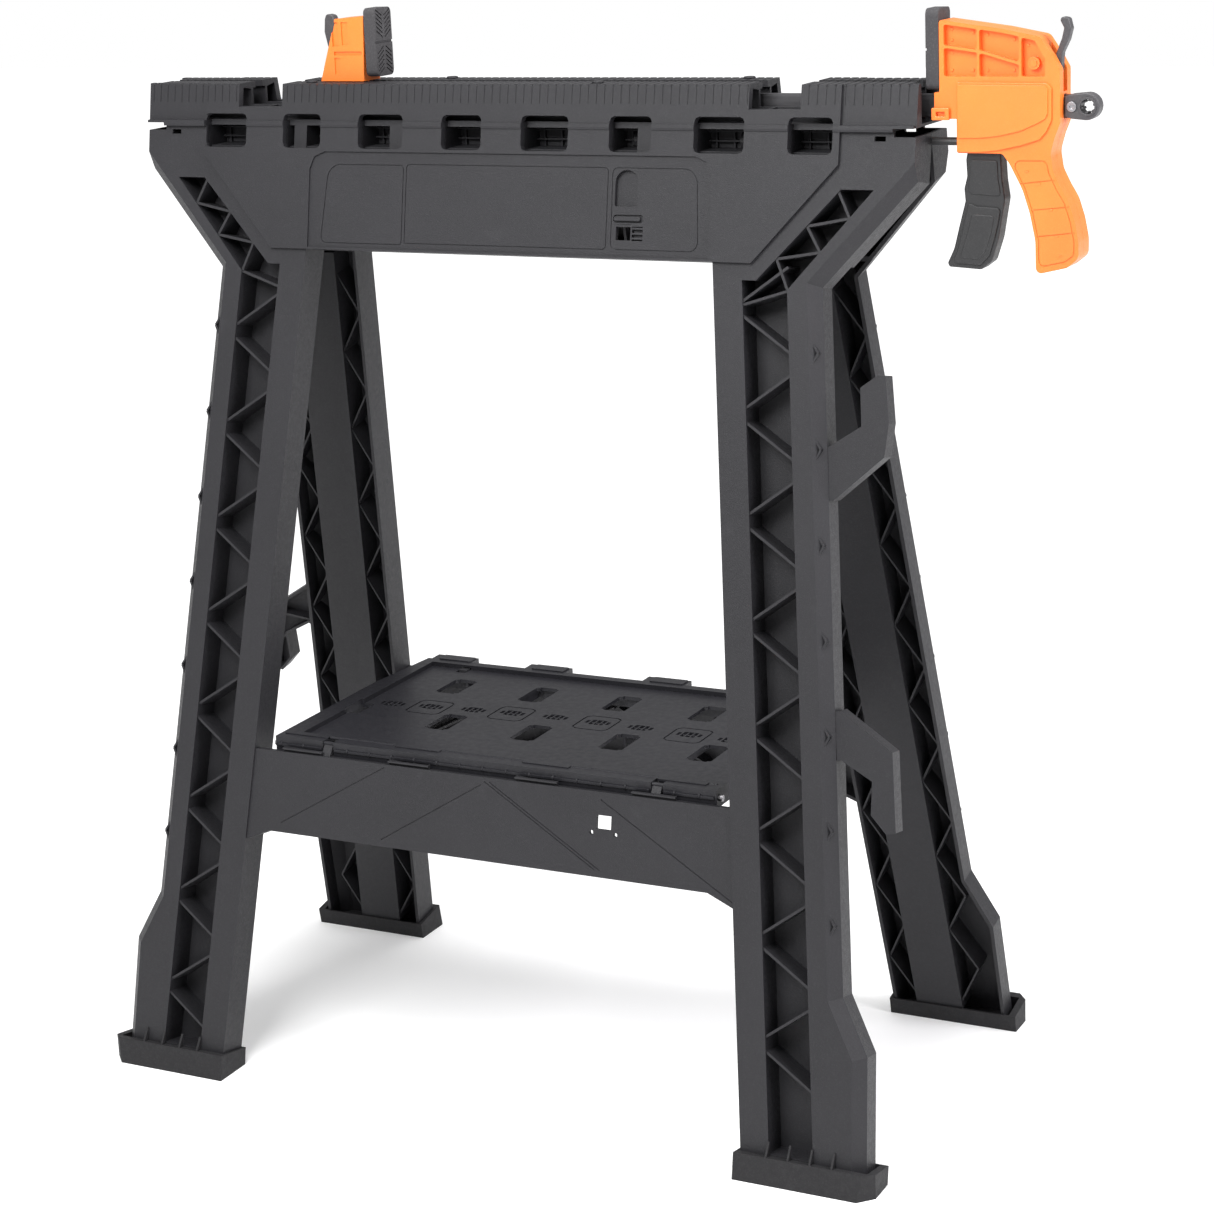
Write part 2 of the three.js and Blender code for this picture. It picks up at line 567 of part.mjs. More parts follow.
// Steel plates that grip the bar: an oblong with a window that the bar runs through.
function gripPlate(x, tilt) {
  const outline = [
    [x, 781], [x + 2.4, 781], [x + 2.4 + tilt, 810], [x + tilt, 810],
  ];
  const hole = box(x - 4, x + 8, -BAR.half - 0.6, BAR.half + 0.6, BAR.low - 0.9, BAR.high + 0.9);
  return alongY(outline, -7.5, 7.5).subtract(hole);
}

class Helix extends THREE.Curve {
  constructor(from, to, radius, turns) {
    super();
    Object.assign(this, { from, to, radius, turns });
  }

  getPoint(t) {
    const angle = t * this.turns * Math.PI * 2;
    const middle = (BAR.low + BAR.high) / 2;
    return new THREE.Vector3(
      this.from + t * (this.to - this.from),
      this.radius * 0.62 * Math.cos(angle), middle + this.radius * Math.sin(angle));
  }
}

function spring(x0, x1, turns) {
  const ring = new THREE.Shape();
  ring.absarc(0, 0, 0.7, 0, Math.PI * 2);
  return solidOf(new THREE.ExtrudeGeometry(ring, {
    steps: turns * 10, extrudePath: new Helix(x0, x1, 11.4, turns), curveSegments: 2,
    bevelEnabled: false,
  }));
}

function screw(x, z) {
  return rodY(-7, 9.6, x, z, 1.5, 8).add(rodY(9.9 - GAP, 12.2, x, z, 3.2, 10));
}

// ---- tail jaw -----------------------------------------------------------------------------
const TAIL = { left: -179, right: -138.6, base: 813.6, top: 864.4 };

function tailShell(side) {
  const outer = side * CLAMP_HALF;
  const inner = side * 0.15;
  const [low, high] = side < 0 ? [outer, inner] : [inner, outer];
  const outline = [
    [TAIL.left, TAIL.base], [TAIL.right, TAIL.base], [TAIL.right + 2.8, TAIL.top],
    [-162.5, 862.6], [-168, 846],
  ];
  const core = [
    [TAIL.left + 4, TAIL.base + 3], [TAIL.right - 3, TAIL.base + 3], [TAIL.right - 1, 861.5],
    [-160.5, 860], [-165, 845],
  ];
  const [coreLow, coreHigh] = side < 0 ? [outer + 2.6, 5] : [-5, outer - 2.6];
  let shell = alongY(outline, low, high).subtract(alongY(core, coreLow, coreHigh));
  const cheek = box(-174, -144, 2.85, 4.5, 784.9, TAIL.base + 4);
  const foot = box(-174, -144, 0.15, 4.5, 784.4, 786.8);
  const neck = side < 0 ? cheek.mirror([0, 1, 0]).add(foot.mirror([0, 1, 0])) : cheek.add(foot);
  shell = shell.subtract(box(-175, -143, -2.84, 2.84, 805, TAIL.base + 8)).add(neck);
  shell = shell.subtract(box(-186, -163, -4.4, 4.4, TAIL.base + 3, 870));
  if (side > 0) return shell;
  return cutAll(shell, [
    box(-166, -160, -20, -CLAMP_HALF + 1.6, 841, 860), box(-157, -151, -20, -11.4, 842, 860),
    box(-165, -139, -20, -CLAMP_HALF + 1.6, 834, 837),
    box(-165, -159.5, -20, -11.4, 819, 832),
  ]);
}

function tailLever() {
  const outline = [
    [-172.4, 823], [-166.4, 823], [-165.6, 829], [-169.3, 840], [-169, 852], [-168.3, 861],
    [-170, 865], [-175.6, 866.2], [-177.4, 862], [-178.4, 852], [-175.6, 839],
  ];
  return alongY(outline, -3.9, 3.9).subtract(rodY(-9, 9, TAIL_LEVER.x, TAIL_LEVER.z, 1.6, 10));
}

const TAIL_LEVER = { x: -169.2, z: 827 };

// ---- materials and assembly ---------------------------------------------------------------
const charcoal = { color: 0x2e2e30, roughness: 0.62, metalness: 0 };
const rubber = { color: 0x3c3b3d, roughness: 0.8, metalness: 0 };
const orange = { color: 0xf2701c, roughness: 0.42, metalness: 0 };
const grey = { color: 0x59565a, roughness: 0.5, metalness: 0 };
const steel = { color: 0x6c6a6e, roughness: 0.35, metalness: 1 };
const black = { color: 0x232325, roughness: 0.6, metalness: 0 };

const group = new THREE.Group();

function place(name, solid, finish, turned = false) {
  const mesh = new THREE.Mesh(geometryOf(solid), new THREE.MeshStandardMaterial(finish));
  mesh.name = name;
  mesh.position.x = -CENTRE_X;
  if (turned) mesh.rotation.z = Math.PI;
  group.add(mesh);
}

const moulding = frameMoulding();
place('front_frame', moulding, charcoal);
place('rear_frame', moulding, charcoal, true);

const cap = footCap();
const capMirrored = cap.mirror([1, 0, 0]);
place('foot_front_right', cap, rubber);
place('foot_front_left', capMirrored, rubber);
place('foot_rear_left', cap, rubber, true);
place('foot_rear_right', capMirrored, rubber, true);

HINGE.stations.forEach((x, i) => place(`hinge_pin_${i + 1}`, hingePin(x), steel));

place('tray', trayTop(), charcoal);
place('tray_rod', trayRod(), steel);

place('clamp_bar', barSolid(), steel);
place('bar_end_cap', barCap(), grey);
place('head_shell_front', headShell(-1), orange);
place('head_shell_rear', headShell(1), orange);
place('head_cover', headCover(), orange);
place('loop_clip', loopClip(), orange);
place('head_pad', pad(338.7, 348.6, 865.6, 807.5), rubber);
place('trigger', trigger(), black);
place('trigger_pin', pinY(PIVOT.x, PIVOT.z, 2, 9.6), steel);
place('release_lever', releaseLever(), grey);
place('release_lever_pin', pinY(LEVER.x, LEVER.z, 1.3, 9.6), steel);
place('drive_plate', gripPlate(371, 0), steel);
place('brake_plate', gripPlate(424, 3), steel);
place('drive_spring', spring(376, 402, 5), steel);
place('stop_rod', rodX(338.6, 365.7, 0, 769.5, 3, 12), black);
SCREWS.forEach(([x, z], i) => place(`head_screw_${i + 1}`, screw(x, z), steel));

place('tail_shell_front', tailShell(-1), orange);
place('tail_shell_rear', tailShell(1), orange);
place('tail_pad', pad(TAIL.right + 3.2, -125, 870.6, 817), rubber);
place('tail_lever', tailLever(), grey);
place('tail_lever_pin', pinY(TAIL_LEVER.x, TAIL_LEVER.z, 1.3, 9.6), steel);

export default group;
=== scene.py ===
"""Looks of the folding sawhorse: two leaning frame mouldings, tray, and a trigger clamp on top."""
import json
import math

import bmesh
import bpy
from mathutils import Matrix, Vector


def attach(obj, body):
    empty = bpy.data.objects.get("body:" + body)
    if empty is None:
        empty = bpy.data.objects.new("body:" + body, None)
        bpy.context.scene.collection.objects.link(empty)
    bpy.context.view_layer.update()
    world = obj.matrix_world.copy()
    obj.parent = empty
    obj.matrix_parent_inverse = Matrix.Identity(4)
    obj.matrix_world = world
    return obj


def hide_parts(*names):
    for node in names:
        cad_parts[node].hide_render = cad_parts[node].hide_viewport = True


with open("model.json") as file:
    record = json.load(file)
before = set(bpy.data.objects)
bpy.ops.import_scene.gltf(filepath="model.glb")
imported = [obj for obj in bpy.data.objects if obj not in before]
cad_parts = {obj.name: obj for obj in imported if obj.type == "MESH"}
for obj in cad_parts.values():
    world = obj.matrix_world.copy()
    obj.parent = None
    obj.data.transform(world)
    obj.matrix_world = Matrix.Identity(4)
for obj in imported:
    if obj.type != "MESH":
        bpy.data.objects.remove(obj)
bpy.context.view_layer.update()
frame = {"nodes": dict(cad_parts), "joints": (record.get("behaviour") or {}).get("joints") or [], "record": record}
NODES = frame["nodes"]

# ---- coordinates: millimetres about the middle of the beam, turned into row metres -----------
CENTRE_X = -frame["joints"][0]["pos_m"][0] * 1000
LEAN = math.radians(10.75)   # slope of each frame
HEIGHT = 813                 # top of the beam
HALF_DEPTH = 24.9            # beam's middle plane to its face, at the top


def row(x, y, z):
    return Vector(((x - CENTRE_X) / 1000, y / 1000, z / 1000))


def lean(x, z, d):
    """A point seen at height z on the front frame's outer plane, d behind it."""
    y = -HALF_DEPTH - (HEIGHT - z) * math.tan(LEAN) + d * math.cos(LEAN)
    return row(x, y, z - d * math.sin(LEAN))


def along_y(u, v, t):
    return row(u, t, v)


def along_x(u, v, t):
    return row(t, u, v)


def along_z(u, v, t):
    return row(u, v, t)


# ---- mesh helpers ----------------------------------------------------------------------------
def rounded(points, radius, steps=4):
    """Outline with its corners rounded; radius is one number or one per corner."""
    radii = radius if isinstance(radius, (list, tuple)) else [radius] * len(points)
    out = []
    for i, (p, r) in enumerate(zip(points, radii)):
        p = Vector(p)
        a = Vector(points[i - 1]) - p
        b = Vector(points[(i + 1) % len(points)]) - p
        if r <= 0:
            out.append(tuple(p))
            continue
        angle = a.angle(b)
        reach = min(r / math.tan(angle / 2), a.length * 0.48, b.length * 0.48)
        r = reach * math.tan(angle / 2)
        mid = (a.normalized() + b.normalized()).normalized()
        centre = p + mid * (r / math.sin(angle / 2))
        start = p + a.normalized() * reach - centre
        end = p + b.normalized() * reach - centre
        turn = start.angle_signed(end)
        for k in range(steps + 1):
            spun = Matrix.Rotation(-turn * k / steps, 2) @ start
            out.append(tuple(centre + spun))
    return out


def mesh_object(name, verts, faces):
    mesh = bpy.data.meshes.new(name)
    mesh.from_pydata([tuple(v) for v in verts], [], faces)
    work = bmesh.new()
    work.from_mesh(mesh)
    bmesh.ops.remove_doubles(work, verts=work.verts, dist=1e-6)
    bmesh.ops.recalc_face_normals(work, faces=work.faces)
    work.to_mesh(mesh)
    work.free()
    obj = bpy.data.objects.new(name, mesh)
    bpy.context.scene.collection.objects.link(obj)
    return obj


def prism_data(points, a, b, place):
    n = len(points)
    verts = [place(u, v, a) for u, v in points] + [place(u, v, b) for u, v in points]
    faces = [list(range(n)), list(range(2 * n - 1, n - 1, -1))]
    faces += [[i, (i + 1) % n, n + (i + 1) % n, n + i] for i in range(n)]
    return verts, faces


def prisms(name, parts):
    """One object from several separate prisms: each part is (points, a, b, place)."""
    verts, faces = [], []
    for points, a, b, place in parts:
        v, f = prism_data(points, a, b, place)
        faces += [[i + len(verts) for i in face] for face in f]
        verts += v
    return mesh_object(name, verts, faces)


def prism(name, points, a, b, place=along_y):
    return prisms(name, [(points, a, b, place)])


def rings(name, outlines, width, a, b, place):
    """Thin closed grooves or beads, each following an outline."""
    verts, faces = [], []
    for points in outlines:
        n, k = len(points), len(verts)
        outer, inner = grow(points, width / 2), grow(points, -width / 2)
        verts += [place(u, v, t) for t in (a, b) for loop in (outer, inner) for u, v in loop]
        for i in range(n):
            j = (i + 1) % n
            walls = [[i, j, n + j, n + i], [2 * n + i, 3 * n + i, 3 * n + j, 2 * n + j],
                     [i, 2 * n + i, 2 * n + j, j], [n + i, n + j, 3 * n + j, 3 * n + i]]
            faces += [[k + corner for corner in wall] for wall in walls]
    return mesh_object(name, verts, faces)


def grow(points, distance):
    """An outline moved outwards by a distance, or inwards if it is negative."""
    area = sum(p[0] * q[1] - q[0] * p[1] for p, q in zip(points, points[1:] + points[:1]))
    sign = 1 if area > 0 else -1
    out = []
    for i, p in enumerate(points):
        a = (Vector(p) - Vector(points[i - 1])).normalized()
        b = (Vector(points[(i + 1) % len(points)]) - Vector(p)).normalized()
        normal = Vector((a.y + b.y, -a.x - b.x)) * sign
        normal.normalize()
        reach = distance / max(0.4, normal.dot(Vector((a.y, -a.x)) * sign))
        out.append((p[0] + normal.x * reach, p[1] + normal.y * reach))
    return out


def strip(p, q, width):
    """Outline of a straight bar from p to q."""
    p, q = Vector(p), Vector(q)
    n = (q - p).normalized()
    n = Vector((-n.y, n.x)) * width / 2
    return [tuple(p + n), tuple(p - n), tuple(q - n), tuple(q + n)]


def circle(x, z, r, n=24):
    return [(x + r * math.cos(2 * math.pi * k / n), z + r * math.sin(2 * math.pi * k / n))
            for k in range(n)]


def rect(x0, x1, z0, z1):
    return [(x0, z0), (x1, z0), (x1, z1), (x0, z1)]


def cut(obj, cutter):
    mod = obj.modifiers.new("cut", "BOOLEAN")
    mod.operation, mod.solver, mod.object = "DIFFERENCE", "EXACT", cutter
    apply_modifiers(obj)
    bpy.data.objects.remove(cutter)
    return obj


def apply_modifiers(obj):
    bpy.context.view_layer.update()
    graph = bpy.context.evaluated_depsgraph_get()
    mesh = bpy.data.meshes.new_from_object(obj.evaluated_get(graph))
    obj.modifiers.clear()
    obj.data = mesh


def tidy(obj):
    """Weld the seams a cut leaves and dissolve edges inside flat faces."""
    work = bmesh.new()
    work.from_mesh(obj.data)
    bmesh.ops.remove_doubles(work, verts=work.verts, dist=2e-6)
    bmesh.ops.dissolve_limit(work, angle_limit=math.radians(0.3), verts=work.verts,
                             edges=work.edges, use_dissolve_boundaries=False)
    work.to_mesh(obj.data)
    work.free()
    return obj


def soften(obj, width, segments=2, angle=32, smooth=False):
    """Rounded moulded edges. Curved outlines are smooth, flat mouldings stay flat."""
    mod = obj.modifiers.new("edges", "BEVEL")
    mod.width, mod.segments = width / 1000, segments
    mod.limit_method, mod.angle_limit = "ANGLE", math.radians(angle)
    mod.use_clamp_overlap = True
    mod.harden_normals = smooth
    for face in obj.data.polygons:
        face.use_smooth = smooth
    if smooth:
        obj.data.set_sharp_from_angle(angle=math.radians(angle))
    return obj


def finish_piece(obj, body, material, replaces=(), bevel=0.5, segments=2, angle=32,
                 smooth=False):
    if bevel:
        soften(obj, bevel, segments, angle, smooth)
    obj.data.materials.clear()
    obj.data.materials.append(material)
    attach(obj, body)
    if replaces:
        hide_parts(*replaces)
    return obj


# ---- materials -------------------------------------------------------------------------------
class Nodes:
    """A material's node tree, with short ways to add the nodes used here."""

    def __init__(self, name):
        self.material = bpy.data.materials.new(name)
        self.material.use_nodes = True
        self.tree = self.material.node_tree
        self.shader = self.tree.nodes["Principled BSDF"]
        self.coords = self.tree.nodes.new("ShaderNodeTexCoord")

    def add(self, kind, **values):
        node = self.tree.nodes.new(kind)
        for key, value in values.items():
            if hasattr(node, key):
                setattr(node, key, value)
            else:
                node.inputs[key.replace("_", " ")].default_value = value
        return node

    def link(self, a, b):
        self.tree.links.new(a, b)

    def noise(self, scale, detail=2.0, roughness=0.5, stretch=None):
        node = self.add("ShaderNodeTexNoise", Scale=scale, Detail=detail, Roughness=roughness)
        source = self.coords.outputs["Object"]
        if stretch:
            mapping = self.add("ShaderNodeMapping")
            mapping.inputs["Scale"].default_value = stretch
            self.link(source, mapping.inputs["Vector"])
            source = mapping.outputs["Vector"]
        self.link(source, node.inputs["Vector"])
        return node.outputs["Fac"]

    def span(self, value, low, high, start=0.3, end=0.7):
        node = self.add("ShaderNodeMapRange")
        self.link(value, node.inputs["Value"])
        for key, number in zip(("From Min", "From Max", "To Min", "To Max"),
                               (start, end, low, high)):
            node.inputs[key].default_value = number
        return node.outputs["Result"]

    def mix(self, factor, a, b):
        node = self.add("ShaderNodeMix", data_type="RGBA")
        self.link(factor, node.inputs["Factor"])
        for socket, colour in (("A", a), ("B", b)):
            slot = [s for s in node.inputs if s.name == socket and s.type == "RGBA"][0]
            if hasattr(colour, "links"):
                self.link(colour, slot)
            else:
                slot.default_value = (*colour, 1)
        return [s for s in node.outputs if s.type == "RGBA"][0]

    def bump(self, height, strength, distance, below=None):
        node = self.add("ShaderNodeBump")
        node.inputs["Strength"].default_value = strength
        node.inputs["Distance"].default_value = distance
        self.link(height, node.inputs["Height"])
        if below:
            self.link(below, node.inputs["Normal"])
        return node.outputs["Normal"]


def moulded(name, colour, wear_and_glint, rough, grain, depth, specular=0.5, edge=0.5, coat=0.0):
    """Moulded plastic: spark-eroded grain in the bump with painted speckle highlights in the colour, faint flow
    clouds, lighter rubbed patches.
    """
    n = Nodes(name)
    clouds = n.span(n.noise(9, 4, 0.6), 0.0, 1.0, 0.35, 0.65)
    darker = tuple(c * 0.86 for c in colour)
    base = n.mix(clouds, darker, colour)
    # painted speckle highlight: fine light specks of the grain, mixed into the colour
    speck_highlight = n.span(n.noise(grain * 0.55, 3, 0.6), 0.0, 0.35, 0.5, 0.72)
    base = n.mix(speck_highlight, base, wear_and_glint)
    rubbed = n.span(n.noise(45, 5, 0.7), 0.0, edge, 0.60, 0.78)
    base = n.mix(rubbed, base, wear_and_glint)
    n.link(base, n.shader.inputs["Base Color"])
    n.link(n.span(n.noise(grain * 0.2, 3), rough - 0.06, rough + 0.07),
           n.shader.inputs["Roughness"])
    n.shader.inputs["Specular IOR Level"].default_value = specular
    n.shader.inputs["Coat Weight"].default_value = coat
    wave = n.bump(n.noise(26, 2), 0.12, 0.002)
    n.link(n.bump(n.noise(grain, 3, 0.65), depth, 0.0006, wave), n.shader.inputs["Normal"])
    return n.material


def metal(name, colour, rough, stretch, metallic=1.0):
    """Drawn steel: fine lines along the length."""
    n = Nodes(name)
    base = n.mix(n.span(n.noise(40, 3), 0.0, 1.0), tuple(c * 0.8 for c in colour), colour)
    n.link(base, n.shader.inputs["Base Color"])
    n.shader.inputs["Metallic"].default_value = metallic
    n.link(n.span(n.noise(900, 2, 0.5, stretch), rough - 0.08, rough + 0.1),
           n.shader.inputs["Roughness"])
    n.link(n.bump(n.noise(1400, 2, 0.5, stretch), 0.12, 0.0003), n.shader.inputs["Normal"])
    return n.material


CHARCOAL = moulded("charcoal_plastic", (0.019, 0.0186, 0.0212), (0.038, 0.037, 0.041), 0.50,
                   1500, 0.42, specular=0.32, edge=0.3)
RUBBER = moulded("dark_rubber", (0.017, 0.0165, 0.018), (0.04, 0.04, 0.042), 0.68, 1100, 0.5,
                 specular=0.3)
PAD = moulded("jaw_pad_rubber", (0.038, 0.036, 0.039), (0.11, 0.108, 0.112), 0.62, 1300, 0.4,
              specular=0.4)
ORANGE = moulded("orange_plastic", (0.95, 0.20, 0.026), (0.97, 0.25, 0.05), 0.40, 1700, 0.2,
                 edge=0.35, coat=0.1)
BLACK = moulded("black_plastic", (0.016, 0.016, 0.017), (0.05, 0.05, 0.052), 0.45, 1500, 0.3)
GREY = moulded("dark_grey_plastic", (0.05, 0.048, 0.052), (0.11, 0.108, 0.112), 0.42, 1400, 0.3)
STEEL = metal("satin_steel", (0.45, 0.44, 0.46), 0.32, (0.02, 1, 1))
BAR = metal("dark_bar_steel", (0.13, 0.128, 0.135), 0.38, (0.02, 1, 1), 0.85)
TRAY_PLASTIC = moulded("tray_plastic", (0.015, 0.0148, 0.018), (0.032, 0.031, 0.035), 0.42,
                       900, 0.16, specular=0.3, edge=0.2)

# ---- frames ----------------------------------------------------------------------------------
LEG_INNER_X, SPLAY, BEAM_FOOT_Z = 180.7, 0.0872, 683.4
FLUTE_PITCH, FLUTE_END, RAISED_END = 7, 336, 279
RIB_STEP, RIB_TOP, RIB_BOTTOM = 35, 655.0, 44


def inner_x(z):
    """Where a leg's inner edge is at height z."""
    return LEG_INNER_X + SPLAY * (BEAM_FOOT_Z - z)


def copy_of(node, name):
    """A copy of a CAD piece's mesh, to be worked on."""
    obj = bpy.data.objects.new(name, NODES[node].data.copy())
    bpy.context.scene.collection.objects.link(obj)
    return tidy(obj)


def panel_outlines():
    """The three fields scored into the beam's recessed panel."""
    first = rounded([(-166.3, 688.8), (-90.8, 688.8), (-90.8, 750), (-160.5, 750)],
                    [5, 2, 3, 12], 6)
    middle = rounded([(-88, 690), (91, 690), (91, 750.8), (-88, 750.8)], [0.5, 3, 3, 3], 4)
    last = rounded([(95.3, 690.2), (168.8, 690.2), (165.6, 750.8), (94.8, 750.8)],
                   [5, 7, 11, 4], 6)
    return [first, middle, last]


def frame_cutters():
    """Ridges on the top, flutes on the face, and the latch and rail details."""
    top, flutes, lines = [], [], []
    x = -334.0
    while x < FLUTE_END:
        top.append(([(x - 2.2, 813.7), (x, 811.0), (x + 1.0, 813.7)], -32, -4, along_y))
        depth = -2.6 if abs(x) < RAISED_END else 0.4
        flutes.append((strip((x, 798), (x, 815), 0.9), -7, depth, lean))
        x += FLUTE_PITCH
    finger = rounded(rect(97.3, 116.8, 722.3, 749.4), [1.5, 1.5, 9.7, 9.7], 8)
    lines.append((finger, -6, 2.1, lean))
    lines.append((rounded(rect(96.6, 122.3, 710.2, 716.2), 2.4), -6, 0.1, lean))
    lines.append((rect(99.3, 111.7, 697.2, 707.3), -6, 8, lean))
    lines.append((rect(113, 122, 697, 707.6), -6, 1.4, lean))
    scores = [((-189, 219.9), (-91.6, 275.7)), ((-92.1, 217.6), (-1.4, 272.1)),
              ((1.5, 275), (102.5, 217.5)), ((6, 275), (107, 217.5)),
              ((105.7, 272.5), (222, 207))]
    for p, q in scores:
        lines.append((strip(p, q, 0.9), -3, 2.1, lean))
    for x in (98.5, 119.5):
        lines.append((circle(x, 246.5, 1.7, 12), -3, 6, lean))
    return top, flutes, lines


def frame_mesh():
    obj = copy_of("front_frame", "frame_detail")
    top, flutes, lines = frame_cutters()
    for parts in (top, flutes, lines):
        cut(obj, prisms("cutter", parts))
    cut(obj, rings("cutter", panel_outlines(), 0.75, -2.5, -0.75, lean))
    return tidy(obj)


def channel_ribs():
    """Zigzag ribs in the two channels that open at the back of each leg."""
    parts = []
    for hand in (-1, 1):
        for start, end, first in ((2.5, 22.5, 0), (62.0, 82.5, 1)):
            z, k = RIB_TOP, first
            while z > RIB_BOTTOM:
                low = z - RIB_STEP
                a = (start, end) if k % 2 else (end, start)
                p = (hand * (inner_x(z) + a[0]), z)
                q = (hand * (inner_x(low) + a[1]), low)
                parts.append((strip(p, q, 1.7), 2.5, 24.5, lean))
                z, k = low, k + 1
    return parts


def frame_extras():
    """Raised parts of the latch on the beam's panel."""
    parts = [(rounded(rect(97.4, 119.8, 711.6, 714.9), 1.5), -0.6, -2.5, lean)]
    for z in (698, 701.6, 705.4):
        parts.append((rect(113, 122, z, z + 1.5), 0.9, -1.5, lean))
    parts.append((rect(99.3, 112, 709.0, 710.0), -1.0, -1.9, lean))
    return parts


def turned(obj, name):
    """The same moulding, half a turn about the vertical through the beam's middle."""
    mesh = obj.data.copy()
    centre = row(0, 0, 0)
    mesh.transform(Matrix.Translation(centre) @ Matrix.Rotation(math.pi, 4, "Z")
                   @ Matrix.Translation(-centre))
    twin = bpy.data.objects.new(name, mesh)
    bpy.context.scene.collection.objects.link(twin)
    return twin


def build_frames():
    main = frame_mesh()
    main.name = "front_moulding"
    ribs = prisms("front_channel_ribs", channel_ribs())
    extras = prisms("front_latch_details", frame_extras())
    for obj, bevel in ((main, 0.55), (ribs, 0.25), (extras, 0.3)):
        twin = turned(obj, obj.name.replace("front", "rear"))
        finish_piece(obj, "front", CHARCOAL, ["front_frame"] if obj is main else [],
                     bevel)
        finish_piece(twin, "rear", CHARCOAL, ["rear_frame"] if obj is main else [],
                     bevel)


build_frames()


# ---- feet ------------------------------------------------------------------------------------
FIN_X = (262, 280, 298, 316)


def build_feet():
    """Rubber caps, with small fins standing on their front edge."""
    for node, body, sx, sy in (("foot_front_right", "front", 1, 1),
                               ("foot_front_left", "front", -1, 1),
                               ("foot_rear_left", "rear", -1, -1),
                               ("foot_rear_right", "rear", 1, -1)):
        cap = copy_of(node, node + "_cap")
        finish_piece(cap, body, RUBBER, [node], 1.1, 3)
        outline = [(-6.2, 19.6), (-0.4, 19.6), (-0.4, 31), (-1.2, 31)]
        verts, faces = [], []
        for x in FIN_X:
            k = len(verts)
            verts += [lean(x + t, z, d) for t in (-0.9, 0.9) for d, z in outline]
            faces += [[k, k + 1, k + 2, k + 3], [k + 7, k + 6, k + 5, k + 4]]
            faces += [[k + i, k + (i + 1) % 4, k + 4 + (i + 1) % 4, k + 4 + i] for i in range(4)]
        fins = mesh_object(node + "_fins", verts, faces)
        centre = row(0, 0, 0)
        flip = Matrix.Diagonal((sx, sy, 1, 1))
        fins.data.transform(Matrix.Translation(centre) @ flip @ Matrix.Translation(-centre))
        if sx * sy < 0:
            fins.data.flip_normals()
        finish_piece(fins, body, RUBBER, (), 0.3)


build_feet()


# ---- cells behind the windows ----------------------------------------------------------------
WINDOW_PITCH, WINDOWS_MIDDLE, CELL_MARGIN = 73.8, -2, 1.2
WIDE_WINDOW, NARROW_WINDOW = 41.2, 35.7


def window_cells():
    """Side walls and back wall of the cell behind each window, with the struts on its back."""
    walls, struts = [], []
    for i in range(1, 9):
        middle = WINDOWS_MIDDLE + (i - 4.5) * WINDOW_PITCH
        half = (WIDE_WINDOW if i % 2 else NARROW_WINDOW) / 2 + CELL_MARGIN
        x0, x1 = middle - half, middle + half
        for x in (x0, x1):
            outline = [(-30, 762), (-3.4, 762), (-2.4, 770), (-2.4, 783.6), (-26, 783.6)]
            walls.append((outline, x - 0.8, x + 0.8, along_x))
        walls.append((rect(x0, x1, 763, 783.8), -3.2, -1.4, along_y))
        walls.append((rect(-26, -3, 761.5, 763), x0, x1, along_x))
        for z in (768, 775.5):
            struts.append((rect(x0, x1, z, z + 1.4), -7.5, -3, along_y))
        for x in (x0 + 6, x0 + 21, x1 - 9):
            struts.append((rect(x, x + 1.4, 763, 783), -6.2, -3, along_y))
    return walls, struts


def build_cells():
    walls, struts = window_cells()
    for name, parts in (("cell_walls", walls), ("cell_struts", struts)):
        obj = prisms("front_" + name, parts)
        twin = turned(obj, "rear_" + name)
        finish_piece(obj, "front", CHARCOAL, (), 0.25)
        finish_piece(twin, "rear", CHARCOAL, (), 0.25)


build_cells()


# ---- tray ------------------------------------------------------------------------------------
LATCH_X = [-160, -124, -84.5, -48.5, -8.5, 32, 72, 118, 156]
LATCH_Y = [4, 7, 11, 14, 16, 15, 14, 11, 9]
BRACKET_X = 150


def tray_panel():
    """The CAD tray with its slots, latch pockets and the grooves round every other pocket."""
    obj = copy_of("tray", "tray_moulding")
    holes, pockets, grooves = [], [], []
    for x, y in ((-132, 65), (-52, 67), (28, 68), (109, 66),
                 (-90, -26), (-8, -28), (72, -25), (152, -27)):
        holes.append((rounded(rect(x - 11, x + 11, y - 18, y + 18), 1.5, 3), 268, 290, along_z))
    for k, (x, y) in enumerate(zip(LATCH_X, LATCH_Y)):
        pocket = rounded(rect(x - 6.5, x + 6.5, y - 6, y + 6), 1.2, 3)
        pockets.append((pocket, 281.8, 286, along_z))
        pockets.append((rect(x - 11, x - 8, y - 3.5, y + 3.5), 282.6, 286, along_z))
        pockets.append((rect(x + 8, x + 11, y - 3.5, y + 3.5), 282.6, 286, along_z))
        if k % 2:
            grooves.append(rounded(rect(x - 16, x + 16, y - 19, y + 15), 6, 4))
    cut(obj, prisms("cutter", holes))
    cut(obj, prisms("cutter", pockets))
    cut(obj, rings("cutter", grooves, 1.5, 283.1, 286, along_z))
    return tidy(obj)


